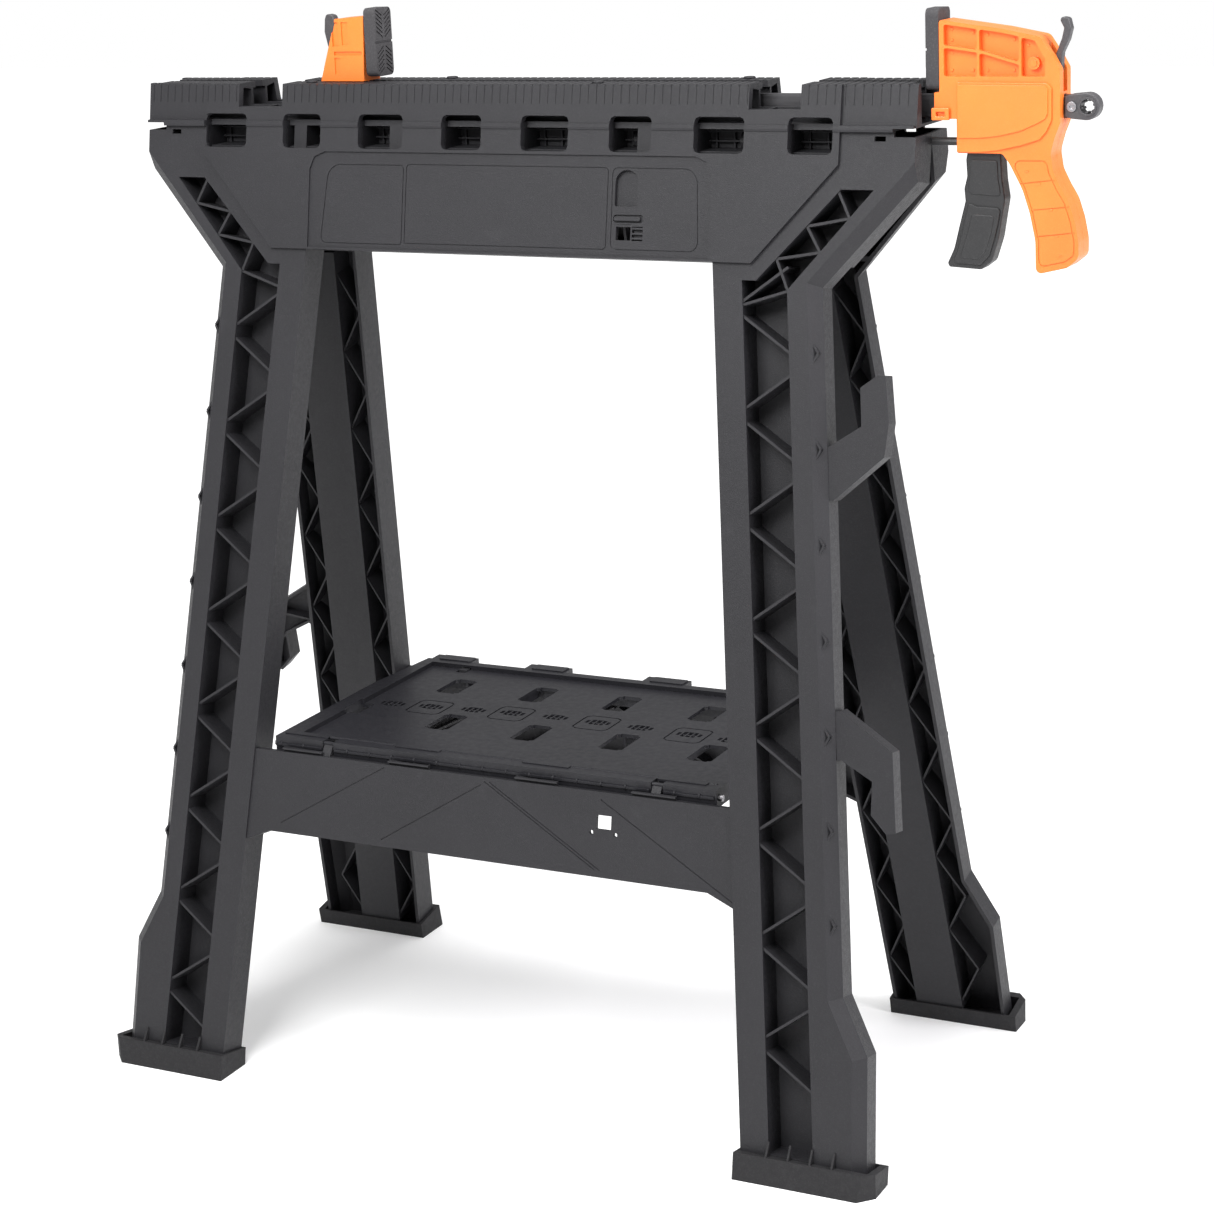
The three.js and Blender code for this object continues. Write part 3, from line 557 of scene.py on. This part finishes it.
def tray_bars():
    """Struts in the latch pockets, clips and rails on the front edge, clips on the rear edge."""
    bars = []
    for x, y in zip(LATCH_X, LATCH_Y):
        for t in (-3.2, 1.8):
            bars.append((rect(x + t, x + t + 1.4, y - 5.8, y + 5.8), 281.6, 283.9, along_z))
        bars.append((rect(x - 6, x + 6, y - 0.7, y + 0.7), 281.6, 283.5, along_z))
    for x in (-176, -70, 48, 168):
        bars.append((rounded(rect(x - 21, x + 21, -109, -102), 1.5, 3), 286.6, 288.9, along_z))
    for y, z in ((-103.5, 286.9), (-113.5, 285.7)):
        bars.append((circle(y, z, 1.8, 14), -196, 196, along_x))
    for k in range(18):
        x = -187 + 22 * k
        bars.append((rect(x - 0.8, x + 0.8, -114, -101), 284.5, 287.7, along_z))
    for x in (-166, -72, 44, 162):
        bars.append((rounded(rect(x - 16, x + 16, 120.5, 133), 1.5, 3), 287.4, 289.2, along_z))
    return bars


def tray_bead():
    """Ribbed bead under the front edge, broken where the brackets stand."""
    parts, x = [], -196.0
    while x < 196:
        if min(abs(x - BRACKET_X), abs(x + BRACKET_X)) > 9:
            parts.append((circle(-116.2, 281.5, 2.3, 10), x, x + 1.6, along_x))
        x += 21.2
    for x0, x1 in ((-199, -156), (-144, 144), (156, 199)):
        parts.append((rect(-117.8, -115.6, 280.2, 282.6), x0, x1, along_x))
    return parts


def rail_pockets():
    """Shallow boxes on the rail where the tray's clips rest."""
    parts = []
    for x in (-171, -70, 47, 150):
        parts.append((rect(x - 19, x + 19, 274, 281), -121.8, -120.8, along_y))
        parts.append((rect(x - 19, x + 19, 279.6, 281), -124, -120.8, along_y))
    return parts


def build_tray():
    finish_piece(tray_panel(), "tray", TRAY_PLASTIC, ["tray"], 0.5)
    for name, parts in (("tray_latches", tray_bars()), ("tray_front_bead", tray_bead())):
        finish_piece(prisms(name, parts), "tray", TRAY_PLASTIC, (), 0.3)
    pockets = prisms("front_rail_pockets", rail_pockets())
    finish_piece(turned(pockets, "rear_rail_pockets"), "rear", CHARCOAL, (), 0.3)
    finish_piece(pockets, "front", CHARCOAL, (), 0.3)


def build_studs():
    """Two low round studs on top of each half of the beam."""
    for body, places in (("front", ((74, -17), (-185, -17))), ("rear", ((-75, 19), (185, 19)))):
        studs = [(circle(x, y, 4.6, 28), HEIGHT - 0.4, HEIGHT + 1.6, along_z) for x, y in places]
        finish_piece(prisms(body + "_top_studs", studs), body, CHARCOAL, (), 0.9, 3,
                     40, True)


# ---- clamp head ------------------------------------------------------------------------------
HALF = 12.5                  # half the clamp's thickness
BAR_Z, BAR_END_X, BAR_END_RADIUS = 795.5, 456.5, 9.7
HEAD = [(349, 806), (349, 857.6), (396, 851), (424.5, 845.4), (434.4, 831), (439.5, 822),
        (439.5, 784), (436, 775.5), (432.5, 763), (434.5, 750), (440, 739), (446, 729),
        (450.5, 715), (453.4, 700), (453.3, 688), (444.5, 681), (421.5, 675.6), (421.2, 700),
        (417, 720), (411.5, 737), (402, 755), (396.5, 762.5), (362, 762.5), (362, 787),
        (345, 787), (345, 806)]
HEAD_ROUND = [1, 2, 30, 6, 5, 5, 5, 8, 14, 12, 16, 30, 40, 30, 7, 3, 4, 40, 60, 40, 12, 4, 1.5,
              0.5, 1, 1]
CELLS = [[(352.5, 839.6), (377.6, 836.1), (377.6, 850.8), (352.5, 854.4)],
         [(352.5, 817.3), (377.6, 817.3), (377.6, 834.3), (352.5, 837.8)],
         [(379.4, 835.9), (409.1, 827.4), (409.1, 845.4), (395.5, 848.3), (379.4, 850.6)],
         [(379.4, 817.3), (409.1, 817.3), (409.1, 825.5), (379.4, 834.1)],
         [(410.9, 817.3), (428.6, 817.3), (428.6, 829.5), (420.8, 842.4), (410.9, 844.9)]]
GRIP_PANEL = [(403.5, 757.5), (413.5, 738.2), (419.3, 720.8), (423.6, 700.4), (423.9, 681),
              (443.4, 685.4), (450, 690.3), (450.2, 700), (447.3, 714.6), (442.8, 728),
              (436.8, 737.6), (431.2, 749.4), (429.6, 757.5)]


def side(points, outer, inner, sign):
    """A prism standing from one distance off the clamp's middle plane to another."""
    return points, sign * outer, sign * inner, along_y


def build_shell(node, name, sign):
    """Half of the head and grip: recessed cells, scored grip, and ways for bar and levers."""
    shell = prism(name, rounded(HEAD, HEAD_ROUND, 5), sign * HALF, sign * 0.15)
    cells = [side(rounded(c, 1.6, 3), 14, 7.2, sign) for c in CELLS]
    lines = (((409.5, 741), (436, 744)), ((418, 722), (446.5, 725)), ((422, 703), (450.5, 706.5)))
    grooves = [side(strip(p, q, 0.8), 13, 11.9, sign) for p, q in lines]
    border = [rounded(GRIP_PANEL, 4, 4)]
    ways = [(rect(330, 470, 786.8, 804.2), -3, 3, along_y),
            (rect(358, 402, 755, 785), -8.8, 8.8, along_y),
            (rect(428, 446, 806, 846), -4.4, 4.4, along_y)]
    cut(shell, prisms("cutter", cells))
    cut(shell, prisms("cutter", grooves))
    cut(shell, rings("cutter", border, 0.8, sign * 13, sign * 11.9, along_y))
    cut(shell, prisms("cutter", ways))
    tidy(shell)
    finish_piece(shell, "front", ORANGE, [node], 0.7, 2, 40, True)
    pegs = []
    for x, z in ((357, 850.5), (373, 848), (384, 846.5), (404, 843), (357, 821.5), (373, 821.5),
                 (384, 821.5), (404, 821.5), (414.5, 839), (357, 834), (357, 843)):
        pegs.append(side(circle(x, z, 1.2, 10), 7.9, 7.0, sign))
    pegs.append(side(circle(419.5, 826.5, 4.6, 24), 10.8, 7.0, sign))
    pegs.append(side(circle(419.5, 826.5, 2.6, 16), 11.4, 7.0, sign))
    for x, z in ((424, 741), (433, 722.5), (437.5, 703.5), (415, 750), (440, 690)):
        pegs.append(side(rect(x - 1.1, x + 1.1, z - 0.7, z + 0.7), 13.0, 12.3, sign))
    finish_piece(prisms(name + "_bosses", pegs), "front", ORANGE, (), 0.25, 2, 40,
                 True)


def build_cover():
    """Cover on the front of the head: a base, and a plate whose lower edge sits higher."""
    outline = [(362.5, 763.4), (380, 763.4), (394.7, 765.1), (411, 768.6), (424.8, 772.8),
               (430, 779), (433.7, 787), (433.7, 809.5), (430.5, 812.8), (362.5, 813.4)]
    inset = [(363.7, 773.6), (381, 773.8), (395, 775.4), (411, 779.0), (424.5, 785),
             (429.5, 788), (431.2, 792), (431.2, 808.8), (429.2, 811.2), (363.7, 811.8)]
    base = prism("head_cover_base", rounded(outline, [1, 30, 40, 40, 5, 4, 4, 3, 3, 1], 5),
                 -HALF - 1.9, -HALF - 0.2)
    finish_piece(base, "front", ORANGE, ["head_cover"], 0.5, 2, 40, True)
    plate = prism("head_cover_plate", rounded(inset, [1, 30, 40, 20, 4, 2, 2, 2, 1.5, 1], 5),
                  -HALF - 3.2, -HALF - 1.6)
    finish_piece(plate, "front", ORANGE, (), 0.35, 2, 40, True)


def build_pad(node, name, body, x0, x1, bottom, top, face):
    """Jaw pad: rounded slab whose working face has slanting grooves in four fields."""
    slab = prism(name, rounded(rect(-HALF, HALF, bottom, top), 4.5, 5), x0, x1, along_x)
    middle, grooves = (bottom + top) / 2, []
    near, deep = (x1 + 1, x1 - 0.9) if face > 0 else (x0 - 1, x0 + 0.9)
    for sy in (-1, 1):
        for sz in (-1, 1):
            for k in range(8):
                z = middle + sz * (3.5 + 3.4 * k)
                if abs(z - middle) > (top - bottom) / 2 - 4:
                    continue
                far = z + sz * 5.5
                limit = middle + sz * ((top - bottom) / 2 - 1.5)
                far = min(far, limit) if sz > 0 else max(far, limit)
                grooves.append((strip((sy * 1.6, z), (sy * 10.6, far), 1.1), near, deep, along_x))
    cut(slab, prisms("cutter", grooves))
    cross = [(rect(-HALF - 1, HALF + 1, middle - 0.9, middle + 0.9), near, deep, along_x)]
    cut(slab, prisms("cutter", cross))
    finish_piece(tidy(slab), body, PAD, [node], 0.5, 2, 40)


def build_trigger():
    """Trigger blade with stepped pads on both sides."""
    outline = [(368.5, 779), (368.5, 766), (366.8, 757), (367.5, 745), (365.2, 736),
               (366, 727), (361.5, 710), (357, 692), (352, 681.5), (353, 678.4), (378, 677),
               (386, 683), (391.5, 700), (394, 715), (396.4, 729), (394.4, 742), (393.4, 757),
               (393.4, 772), (386, 780)]
    body = prism("trigger_body", rounded(outline, [2, 4, 8, 8, 4, 5, 30, 30, 2, 2, 4, 6, 30, 20,
                                                   8, 10, 10, 5, 4], 5), -7.2, 7.2)
    finish_piece(body, "trigger", BLACK, ["trigger"], 1.2, 3, 35, True)
    upper = [(370, 757), (391, 757), (391.6, 743), (393.6, 731), (369.2, 732.5), (368.8, 740),
             (370, 747)]
    lower = [(368.6, 726.5), (375, 723.5), (393.5, 722.5), (391.4, 711), (388.8, 700.5),
             (384.6, 687.5), (377.5, 680.2), (356, 681.4), (360.4, 692), (365, 709)]
    inner = [(371.5, 718), (389, 717), (386.3, 703), (382, 691), (376.4, 684.6), (361.5, 685.2),
             (364.5, 693), (368.8, 707)]
    plates = []
    for sign in (-1, 1):
        plates.append(side(rounded(upper, 2.5, 4), 8.2, 6.8, sign))
        plates.append(side(rounded(lower, 3, 4), 8.6, 6.8, sign))
        plates.append(side(rounded(inner, 2.5, 4), 9.1, 6.8, sign))
    finish_piece(prisms("trigger_plates", plates), "trigger", BLACK, (), 0.8, 2, 35,
                 True)


def build_bar_end():
    """Rounded cap with a toothed hole and a screw."""
    middle, hole_x = BAR_Z, BAR_END_X + 1
    outline = [(440.6, middle - 7.2), (445, middle - 8.6), (BAR_END_X, middle - BAR_END_RADIUS)]
    for k in range(-5, 6):
        a = k * math.pi / 12
        outline.append((BAR_END_X + BAR_END_RADIUS * math.cos(a),
                        middle + BAR_END_RADIUS * math.sin(a)))
    outline += [(BAR_END_X, middle + BAR_END_RADIUS), (445, middle + 8.6), (440.6, middle + 7.2)]
    cap = prism("bar_end", outline, -5.5, 5.5)
    cut(cap, prism("cutter", circle(hole_x, middle, 5.2, 28), -8, 8))
    finish_piece(cap, "bar", GREY, ["bar_end_cap"], 0.9, 3, 40, True)
    bezel = rings("bar_end_bezel", [circle(hole_x, middle, 6.0, 28)], 1.5, -6.3, -5.2, along_y)
    finish_piece(bezel, "bar", GREY, (), 0.3, 2, 40, True)
    teeth = []
    for k in range(6):
        a = k * math.pi / 3 + 0.3
        p = (hole_x + 5.4 * math.cos(a), middle + 5.4 * math.sin(a))
        q = (hole_x + 3.9 * math.cos(a), middle + 3.9 * math.sin(a))
        teeth.append((strip(p, q, 1.8), -4.6, 4.6, along_y))
    finish_piece(prisms("bar_end_teeth", teeth), "bar", GREY, (), 0.25)
    screw = prism("bar_end_screw", circle(446, middle, 3.6, 24), -7.0, -5.3)
    cut(screw, prism("cutter", circle(446, middle, 1.7, 6), -8, -5.9))
    finish_piece(screw, "bar", STEEL, (), 0.35, 2, 40, True)


def build_levers():
    outline = [(430.5, 818), (434.5, 816.5), (437.5, 820), (438.4, 833), (442.8, 842),
               (444.9, 850), (443, 857.5), (438, 858.3), (436.6, 856), (439.6, 850.5),
               (438, 843.5), (434.2, 834), (431.8, 826)]
    lever = prism("release_lever_blade", rounded(outline, 2.4, 5), -3.8, 3.8)
    finish_piece(lever, "release_lever", GREY, ["release_lever"], 0.8, 3, 35, True)
    outline = [(-172.4, 823), (-166.4, 823), (-165.6, 829), (-169.3, 840), (-169, 852),
               (-168.3, 861), (-170, 865), (-175.6, 866.2), (-177.4, 862), (-178.4, 852),
               (-175.6, 839)]
    lever = prism("tail_lever_blade", rounded(outline, 2.4, 5), -3.9, 3.9)
    finish_piece(lever, "tail_lever", GREY, ["tail_lever"], 0.8, 3, 35, True)


build_tray()
build_studs()
build_shell("head_shell_front", "head_casing_front", -1)
build_shell("head_shell_rear", "head_casing_rear", 1)
build_cover()
build_pad("head_pad", "head_jaw_pad", "front", 338.7, 348.6, 807.5, 865.6, -1)
build_pad("tail_pad", "tail_jaw_pad", "tail_jaw", -135.4, -125, 817, 870.6, 1)
build_trigger()
build_bar_end()
build_levers()

# ---- mouldings that keep their CAD shape, with moulded edges --------------------------------
for name, body, width in (("tail_shell_front", "tail_jaw", 0.7),
                          ("tail_shell_rear", "tail_jaw", 0.7), ("loop_clip", "front", 0.5)):
    finish_piece(copy_of(name, name + "_moulding"), body, ORANGE, [name], width)

# ---- everything else from the CAD ------------------------------------------------------------
LOOKS = {"foot": RUBBER, "frame": CHARCOAL, "orange": ORANGE, "pad": PAD, "steel": STEEL,
         "bar": BAR, "black": BLACK, "grey": GREY}
slots = {s["node"]: s["material_slot"] for s in frame["record"]["subparts"]}
for name, obj in NODES.items():
    obj.data.materials.clear()
    obj.data.materials.append(LOOKS[slots[name]])


# ---- stage -----------------------------------------------------------------------------------
FLOOR_HALF = 9               # metres
SOFT_LIGHTS = [              # place, size, power, colour: right end, front above, overhead
    ((2.0, -0.1, 1.7), 1.1, 46, (0.985, 0.97, 1.0)),
    ((-0.1, -1.35, 1.75), 0.9, 40, (1, 1, 1)),
    ((0.2, 0.3, 3.0), 2.4, 55, (1, 1, 1)),
]
AMBIENT, BACKDROP = 0.45, 1.0


def build_floor():
    """Pale floor that glows a little more far away, so that it stays even to the horizon."""
    corners = [(x * FLOOR_HALF, y * FLOOR_HALF, 0) for x, y in ((-1, -1), (1, -1), (1, 1), (-1, 1))]
    floor = mesh_object("floor", corners, [[0, 1, 2, 3]])
    n = Nodes("pale_floor")
    n.link(n.mix(n.noise(3, 2), (0.86, 0.86, 0.86), (0.90, 0.90, 0.90)),
           n.shader.inputs["Base Color"])
    n.shader.inputs["Roughness"].default_value = 0.9
    n.shader.inputs["Emission Color"].default_value = (1, 1, 1, 1)
    reach = n.add("ShaderNodeVectorMath")
    reach.operation = "LENGTH"
    n.link(n.add("ShaderNodeNewGeometry").outputs["Position"], reach.inputs[0])
    n.link(n.span(reach.outputs["Value"], 0.2, 0.75, 1.0, 4.0),
           n.shader.inputs["Emission Strength"])
    floor.data.materials.append(n.material)


def build_world():
    """White surroundings behind the object, and a dimmer even light on it."""
    world = bpy.data.worlds.new("studio")
    bpy.context.scene.world = world
    world.use_nodes = True
    tree = world.node_tree
    path, blend = tree.nodes.new("ShaderNodeLightPath"), tree.nodes.new("ShaderNodeMixShader")
    white = tree.nodes.new("ShaderNodeBackground")
    for node, strength in ((tree.nodes["Background"], AMBIENT), (white, BACKDROP)):
        node.inputs["Color"].default_value = (1, 1, 1, 1)
        node.inputs["Strength"].default_value = strength
    tree.links.new(path.outputs["Is Camera Ray"], blend.inputs[0])
    tree.links.new(tree.nodes["Background"].outputs[0], blend.inputs[1])
    tree.links.new(white.outputs[0], blend.inputs[2])
    tree.links.new(blend.outputs[0], tree.nodes["World Output"].inputs["Surface"])


def build_lights():
    for i, (place, size, power, colour) in enumerate(SOFT_LIGHTS):
        data = bpy.data.lights.new(f"softbox_{i}", "AREA")
        data.size, data.energy, data.color = size, power, colour
        obj = bpy.data.objects.new(f"softbox_{i}", data)
        obj.location = place
        aim = Vector((0, 0, 0.45)) - Vector(place)
        obj.rotation_euler = aim.to_track_quat("-Z", "Y").to_euler()
        bpy.context.scene.collection.objects.link(obj)


def build_camera():
    """Seen from the right front, a little above the beam."""
    azimuth, elevation, roll = (math.radians(a) for a in (-27.473, -15.537, -2.5335))
    ahead = Vector((math.sin(azimuth) * math.cos(elevation),
                    math.cos(azimuth) * math.cos(elevation), math.sin(elevation)))
    right = ahead.cross(Vector((0, 0, 1))).normalized()
    up = right.cross(ahead)
    right, up = (right * math.cos(roll) + up * math.sin(roll),
                 up * math.cos(roll) - right * math.sin(roll))
    data = bpy.data.cameras.new("camera")
    data.sensor_width, data.lens = 36, 83.05
    camera = bpy.data.objects.new("camera", data)
    matrix = Matrix((right, up, -ahead)).transposed().to_4x4()
    matrix.translation = row(1066.8, -1949.7, 1000.7)
    camera.matrix_world = matrix
    bpy.context.scene.collection.objects.link(camera)
    bpy.context.scene.camera = camera


build_floor()
build_world()
build_lights()
build_camera()
bpy.context.scene.view_settings.view_transform = "Standard"
